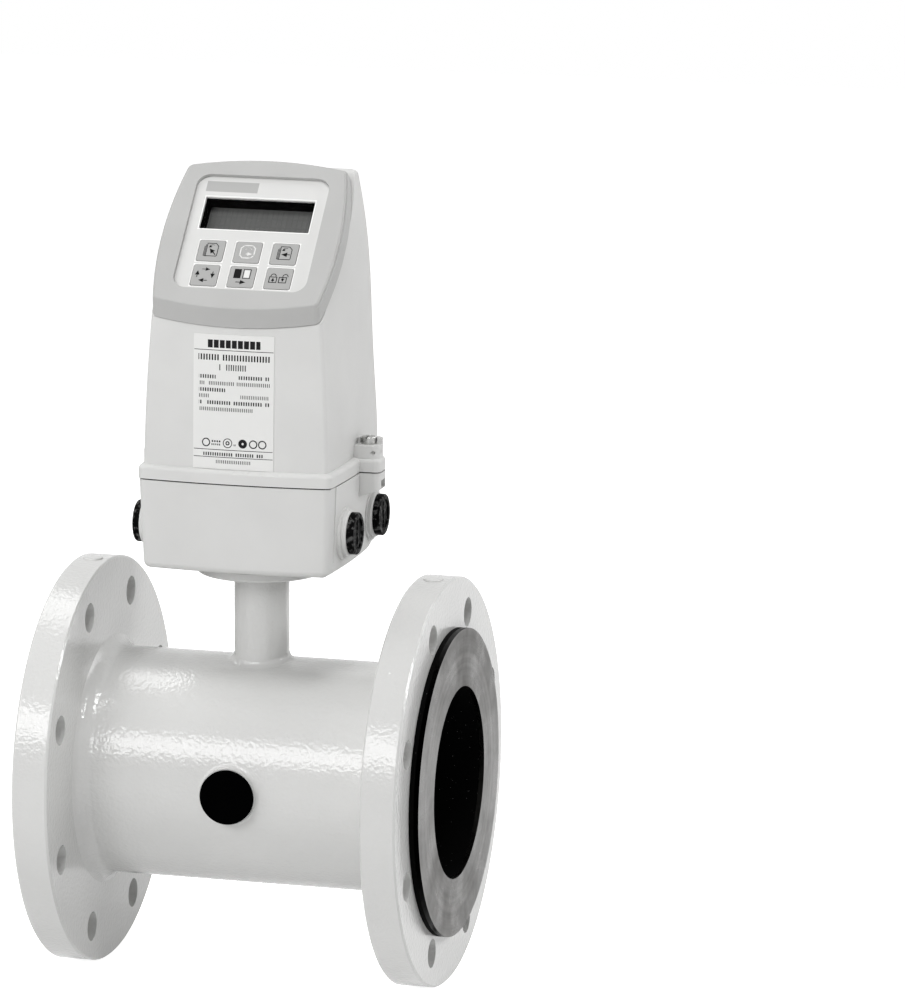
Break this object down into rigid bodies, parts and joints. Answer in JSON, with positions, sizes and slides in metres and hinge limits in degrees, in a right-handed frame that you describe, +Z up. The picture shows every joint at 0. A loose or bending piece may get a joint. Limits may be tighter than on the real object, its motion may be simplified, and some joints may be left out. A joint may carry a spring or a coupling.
{
  "type": "electromagnetic flow meter",
  "caption": "Flanged electromagnetic flow meter with a lined bore and a transmitter head that carries a sloping display and a keypad.",
  "frame": {"origin": "on the bore's axis, midway between the two ends", "axes": "+X along the pipe from inlet to outlet, -Y to the display side, +Z up the neck"},
  "size_m": [0.25, 0.25, 0.498],
  "materials": {
    "sensor_paint": "glossy off-white coating with a fine orange peel",
    "ring_steel": "turned stainless steel",
    "steel_parts": "bright plated steel",
    "black_rubber": "dull black",
    "black_plastic": "fine satin black",
    "housing_plastic": "fine matte light grey",
    "bezel_plastic": "satin mid grey",
    "panel_plastic": "satin pale grey",
    "key_plastic": "satin mid grey with dark signs",
    "label_film": "silver-white film",
    "clear_pane": "clear and smooth",
    "display_grey": "dark grey, blank display",
    "board_green": "green solder mask",
    "block_green": "moulded green plastic",
    "white_plastic": "moulded white plastic",
    "copper": "lacquered copper wire",
    "core_iron": "varnished laminations"
  },
  "bodies": {
    "meter": {"measuring_tube": "steel_parts", "liner": "black_rubber", "inlet_flange": "sensor_paint", "outlet_flange": "sensor_paint", "inlet_rim_plug": "sensor_paint", "outlet_rim_plug": "sensor_paint", "inlet_earth_ring": "ring_steel", "outlet_earth_ring": "ring_steel", "coil_housing": "sensor_paint", "upper_coil": "copper", "lower_coil": "copper", "upper_pole_shoe": "steel_parts", "lower_pole_shoe": "steel_parts", "return_band": "steel_parts", "electrodes": "ring_steel", "electrode_bushes": "white_plastic", "electrode_nuts": "steel_parts", "electrode_leads": "black_rubber", "coil_lead_bundle": "black_rubber", "front_access_plug": "black_plastic", "rear_access_plug": "black_plastic", "neck_tube": "sensor_paint", "neck_plate": "sensor_paint", "neck_gasket": "black_rubber", "neck_screws": "steel_parts", "terminal_box": "housing_plastic", "cover_seal": "black_rubber", "transmitter_housing": "housing_plastic", "right_cover_screw": "steel_parts", "left_cover_screw": "steel_parts", "rating_plate": "label_film", "bezel": "bezel_plastic", "bezel_seal": "black_rubber", "keypad_panel": "panel_plastic", "display_window": "clear_pane", "display_frame": "black_plastic", "display_module": "display_grey", "display_board": "board_green", "display_board_screws": "steel_parts", "key_switches": "black_plastic", "terminal_board": "board_green", "terminal_board_screws": "steel_parts", "supply_terminals": "block_green", "output_terminals": "block_green", "sensor_terminals": "block_green", "board_connector": "black_plastic", "memory_module": "black_plastic", "earth_screw": "steel_parts", "main_board": "board_green", "main_board_screws": "steel_parts", "transformer_core": "core_iron", "transformer_winding": "copper", "capacitors": "white_plastic", "entry_plugs": "black_plastic"},
    "top_menu_key": {"top_menu_key": "key_plastic"},
    "backward_key": {"backward_key": "key_plastic"},
    "page_key": {"page_key": "key_plastic"},
    "change_key": {"change_key": "key_plastic"},
    "select_key": {"select_key": "key_plastic"},
    "lock_key": {"lock_key": "key_plastic"}
  },
  "joints": [
    {"name": "top_menu_key_press", "type": "slide", "parent": "meter", "child": "top_menu_key", "axis": [0, 0.7193, -0.6947], "range_m": [0, 0.0006], "stiffness_N_per_m": 1500, "springref_m": -0.0008},
    {"name": "backward_key_press", "type": "slide", "parent": "meter", "child": "backward_key", "axis": [0, 0.7193, -0.6947], "range_m": [0, 0.0006], "stiffness_N_per_m": 1500, "springref_m": -0.0008},
    {"name": "page_key_press", "type": "slide", "parent": "meter", "child": "page_key", "axis": [0, 0.7193, -0.6947], "range_m": [0, 0.0006], "stiffness_N_per_m": 1500, "springref_m": -0.0008},
    {"name": "change_key_press", "type": "slide", "parent": "meter", "child": "change_key", "axis": [0, 0.7193, -0.6947], "range_m": [0, 0.0006], "stiffness_N_per_m": 1500, "springref_m": -0.0008},
    {"name": "select_key_press", "type": "slide", "parent": "meter", "child": "select_key", "axis": [0, 0.7193, -0.6947], "range_m": [0, 0.0006], "stiffness_N_per_m": 1500, "springref_m": -0.0008},
    {"name": "lock_key_press", "type": "slide", "parent": "meter", "child": "lock_key", "axis": [0, 0.7193, -0.6947], "range_m": [0, 0.0006], "stiffness_N_per_m": 1500, "springref_m": -0.0008}
  ]
}
